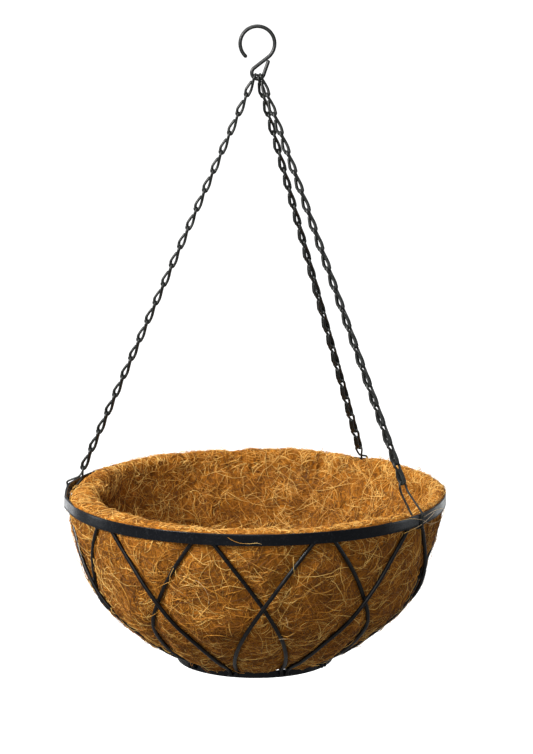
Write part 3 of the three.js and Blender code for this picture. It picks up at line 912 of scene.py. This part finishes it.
def build_stray_fibres():
    """Loose fibres that have come away and lie over the band and the wires."""
    rng = np.random.default_rng(SEED + 1)
    front = chain_azimuth("front")
    curls = [
        # an azimuth, then the turn from it, height from the rim's middle and stand-off along the fibre
        (
            -90,
            [
                (-7.5, 3.5, 0.6),
                (-6, 1, 1.2),
                (-4, -1.2, 0.8),
                (-1.5, -1.6, 0.7),
                (0.5, -1, 1),
                (2, -2.2, 0.5),
            ],
        ),
        (front, [(-13, 6, 0.4), (-6, 5.5, 1.8), (0, 1, 3.2), (4, -5, 3.0), (12, -9, 1.0)]),
        (front, [(1, 3, 2.8), (8, 5, 4.0), (15, 1, 4.2), (14, -7, 3.2), (5, -8, 1.8)]),
        (front, [(-8, -7, 0.6), (-2, -4.5, 2.2), (3, -1, 2.8), (9, 2, 1.4)]),
    ]
    paths = []
    for azimuth, curl in curls:
        turn, height, away = catmull_rom(curl, 6).T
        paths.append(around_z(BAND_OUTER_RADIUS + away * MM, azimuth + turn, RIM_Z + height * MM))
    for _ in range(STRAY_COUNT):
        azimuth = rng.uniform(0, 360)
        depth = rng.uniform(12, 135) * MM
        heading = rng.uniform(0, 2 * math.pi)
        length = rng.uniform(10, 30) * MM
        bend = rng.normal(0, 1.3)
        share = np.linspace(-0.5, 0.5, 24)
        turn = heading + bend * share
        depths = np.clip(depth + np.cumsum(np.sin(turn)) * length / 24, 2 * MM, 150 * MM)
        radius = bowl_radius(depths)
        azimuths = azimuth + np.degrees(np.cumsum(np.cos(turn)) * length / 24 / radius)
        away = (0.3 + 2.4 * np.cos(np.pi * share) ** 1.5) * MM
        paths.append(around_z(radius + away, azimuths, RIM_Z - depths))
    strays = Shape()
    for path in paths:
        strays.add_wire(path, rng.uniform(0.13, 0.2) * MM, 5, 1)
    piece = strays.make("coir_fibres_stray", STRAY_PAINT, "basket", "coir")
    tone = piece.data.attributes.new("tone", "FLOAT", "POINT")
    place = np.array([v.co for v in piece.data.vertices])
    tone.data.foreach_set("value", (0.5 + 0.5 * np.sin(place[:, 0] * 90)).astype(np.float32))


# ---------------------------------------------------------------- chains and hook


class Chain:
    """A chain's line and the way its links turn, from the frame's joints."""

    def __init__(self, name):
        self.name = name
        let_down = JOINTS[f"chain_{name}_let_down"]
        self.pivot = np.array(let_down["pos_m"])
        self.rim_tangent = np.array(let_down["axis"])
        if self.rim_tangent[1] < 0:
            self.rim_tangent = -self.rim_tangent
        lowest = np.array(JOINTS[f"chain_{name}_bend_1"]["pos_m"])
        highest = np.array(JOINTS[f"chain_{name}_bend_5"]["pos_m"])
        self.step = (highest - lowest) / (LOWEST_BEND_BAR - HIGHEST_BEND_BAR)
        self.pitch = np.linalg.norm(self.step)
        self.up = self.step / self.pitch
        self.top_bar = highest + HIGHEST_BEND_BAR * self.step
        self.rim_bar_azimuth = math.degrees(math.atan2(self.rim_tangent[1], self.rim_tangent[0]))

    def place(self, index, along, out, height):
        """A point of link number index, from its bar's direction, the side it bulges to and its height."""
        turned = index - height / self.pitch
        azimuth = TOP_BAR_AZIMUTH + (self.rim_bar_azimuth - TOP_BAR_AZIMUTH) * turned / LINK_COUNT
        bar = around_z(1.0, azimuth, 0.0)
        bar = unit(bar - self.up * np.dot(bar, self.up))
        side = np.cross(self.up, bar)
        return self.top_bar - index * self.step + self.up * height + bar * along + side * out

    def link(self, index):
        """One bent wire: a top bar, two legs drawn in to a waist, and hooks round the next bar."""
        bar = -self.pitch / MM
        shoulder, waist, loop = SHOULDER_HALF_WIDTH / MM, WAIST_HALF_WIDTH / MM, HOOK_LOOP_RADIUS / MM
        half = [
            (waist - 0.1, 0.9, bar + 11.6),
            (waist, 1.5, bar + 9.2),
            (waist, 2.1, bar + 6.2),
            (waist, 2.5, bar + 3.2),
        ]
        for degrees in range(20, -181, -25):
            angle = math.radians(degrees)
            half.append((waist, loop * math.cos(angle), bar + loop * math.sin(angle)))
        half += [
            (waist, -2.1, bar + 3.6),
            (waist, -1.9, bar + 6.4),
            (waist + 0.4, -1.4, bar + 9.4),
            (waist + 1.4, -0.7, bar + 12.6),
            (shoulder, -0.1, -SHOULDER_DROP / MM),
            (shoulder - 0.15, 0, -2.0),
            (shoulder - 0.9, 0, -0.75),
            (shoulder - 2.1, 0, -0.1),
            (0.8, 0, 0.05),
        ]
        mirrored = [(-along, out, height) for along, out, height in reversed(half)]
        return catmull_rom([self.place(index, *np.array(p) * MM) for p in half + mirrored], 3)

    def clip(self):
        """The long end link: one leg outside the band, one inside, their feet hooked under it."""
        outward = around_z(1.0, chain_azimuth(self.name), 0.0)
        bar = self.top_bar - LINK_COUNT * self.step
        bar_out = np.dot(bar - self.pivot, outward) / MM
        bar_up = (bar[2] - self.pivot[2]) / MM
        outer_leg = (BAND_THICKNESS / 2 + BAND_CORNER + CLIP_WIRE_RADIUS) / MM + 0.35
        inner_leg = -(BAND_THICKNESS / 2 + CLIP_WIRE_RADIUS) / MM
        shoulder = SHOULDER_HALF_WIDTH / MM
        places = [
            (-0.8, -0.2, 1.4),
            (1.5, -0.3, 1.4),
            (outer_leg - 0.2, 0.9, 1.2),
            (outer_leg, 3, 1.1),
            (outer_leg, 10, 1.1),
            (outer_leg - 0.5, 13.6, 1.3),
            (bar_out + 5.6, bar_up - 10, 2.4),
            (bar_out + 1.6, bar_up - 4.2, shoulder),
            (bar_out + 0.7, bar_up - 2.0, shoulder - 0.1),
            (bar_out + 0.2, bar_up - 0.7, shoulder - 0.9),
            (bar_out, bar_up, shoulder - 2.1),
            (bar_out, bar_up, 2.1 - shoulder),
            (bar_out - 0.1, bar_up - 0.7, 0.9 - shoulder),
            (bar_out - 0.2, bar_up - 2.0, 0.1 - shoulder),
            (bar_out - 0.1, bar_up - 4.2, -shoulder),
            (bar_out + 1.2, bar_up - 11, -2.5),
            (inner_leg - 2.8, 9, -1.4),
            (inner_leg - 0.6, 3, -1.2),
            (inner_leg + 0.5, -0.1, -1.3),
            (0.9, -0.3, -1.4),
        ]
        points = [
            self.pivot + MM * (outward * out + self.rim_tangent * along + np.array([0.0, 0.0, up]))
            for out, up, along in places
        ]
        return catmull_rom(points, 4)

    def build(self):
        node = f"chain_{self.name}_rim_clip"
        shape = Shape()
        shape.add_wire(self.clip(), CLIP_WIRE_RADIUS, 10)
        shape.make(f"{node}_bent", CHAIN_PAINT, BODY_OF[node], "chain", [node])
        for number in range(1, (LINK_COUNT + 1) // 2 + 1):
            lower = LINK_COUNT - 2 * number + 1
            node = f"chain_{self.name}_run_{number:02d}" if lower > 0 else f"chain_{self.name}_top_link"
            shape = Shape()
            for index in (lower - 1, lower) if lower > 0 else (0,):
                shape.add_wire(self.link(index), CHAIN_WIRE_RADIUS, 10)
            shape.make(f"{node}_bent", CHAIN_PAINT, BODY_OF[node], "chain", [node])


def arc(centre, radius, start, end, step=6):
    angles = np.radians(np.linspace(start, end, max(2, int(abs(end - start) / step))))
    across = EYE_X + centre[0] + radius * np.cos(angles)
    return np.stack([across, 0 * angles, EYE_BOTTOM_Z + centre[1] + radius * np.sin(angles)], -1)


def build_hook():
    """An S-hook: an open hook above and an eye closed against the shank below."""
    points = np.vstack(
        [
            arc(HOOK_ARC_CENTRE, HOOK_ARC_RADIUS, *HOOK_ARC_ENDS),
            arc((0, EYE_ARC_RADIUS), EYE_ARC_RADIUS, *EYE_ARC_ENDS),
            [[EYE_X + EYE_END[0], 0, EYE_BOTTOM_Z + EYE_END[1]]],
        ]
    )
    shape = Shape()
    shape.add_wire(points, HOOK_WIRE_RADIUS, 18, 5)
    shape.make("s_hook_bent", HOOK_PAINT, "s_hook", "hook", ["s_hook"])


# ---------------------------------------------------------------- stage


def area_light(name, place, size, power, colour):
    data = bpy.data.lights.new(name, "AREA")
    data.shape = "RECTANGLE"
    data.size, data.size_y = size
    data.energy = power
    data.color = colour
    lamp = new_object(name, data)
    lamp.location = place
    aim = Vector((0, 0, RIM_Z)) - Vector(place)
    lamp.rotation_euler = aim.to_track_quat("-Z", "Y").to_euler()


def build_stage():
    """A pale floor, a white surround and soft light from the upper left."""
    paint = Paint("pale_floor")
    pale = paint.ramp(paint.noise(3, 2), [(0.2, srgb(251, 251, 251)), (0.8, srgb(253, 253, 253))])
    seen_floor = paint.nodes.new("ShaderNodeLightPath").outputs["Is Camera Ray"]
    bounce = srgb(FLOOR_BOUNCE, FLOOR_BOUNCE, FLOOR_BOUNCE)
    paint.feed(paint.surface.inputs["Base Color"], paint.mix(seen_floor, bounce, pale))
    paint.surface.inputs["Roughness"].default_value = 1.0
    paint.surface.inputs["Specular IOR Level"].default_value = 0.0
    mesh = bpy.data.meshes.new("floor")
    reach = FLOOR_REACH
    turns = ((-1, -1), (1, -1), (1, 1), (-1, 1))
    corners = [(reach * x, reach * y, FLOOR_Z) for x, y in turns]
    mesh.from_pydata(corners, [], [(0, 1, 2, 3)])
    mesh.materials.append(paint.material)
    new_object("floor", mesh)

    world = bpy.data.worlds.new("studio")
    bpy.context.scene.world = world
    world.use_nodes = True
    nodes, links = world.node_tree.nodes, world.node_tree.links
    seen = nodes.new("ShaderNodeLightPath")
    chosen = nodes.new("ShaderNodeMixShader")
    links.new(seen.outputs["Is Camera Ray"], chosen.inputs["Fac"])
    for background, strength, socket in (
        (nodes.new("ShaderNodeBackground"), AMBIENT, 1),
        (nodes["Background"], 1.0, 2),
    ):
        background.inputs["Color"].default_value = (1, 1, 1, 1)
        background.inputs["Strength"].default_value = strength
        links.new(background.outputs["Background"], chosen.inputs[socket])
    links.new(chosen.outputs["Shader"], nodes["World Output"].inputs["Surface"])

    for panel in PANELS:
        area_light(*panel)

    sun = bpy.data.lights.new("overhead", "SUN")
    sun.energy = OVERHEAD
    sun.angle = math.radians(70)
    lamp = new_object("overhead", sun)
    lamp.rotation_euler = (math.radians(12), math.radians(-14), 0)

    view = bpy.context.scene.view_settings
    view.view_transform = "Standard"
    view.look = "None"
    view.exposure = 0.0


def build_camera():
    data = bpy.data.cameras.new("camera")
    data.lens = CAMERA_LENS
    data.sensor_width = 36
    camera = new_object("camera", data)
    camera.location = (CAMERA_ASIDE, -CAMERA_DISTANCE, RIM_Z + CAMERA_ABOVE_RIM)
    camera.rotation_euler = (math.radians(90 - CAMERA_TILT), 0, 0)
    bpy.context.scene.camera = camera


build_strips()
build_frame_wires()
build_welds()
basket_liner = Liner()
basket_liner.build()
build_fibres(basket_liner)
build_stray_fibres()
for chain_name in CHAIN_NAMES:
    Chain(chain_name).build()
build_hook()
build_stage()
build_camera()
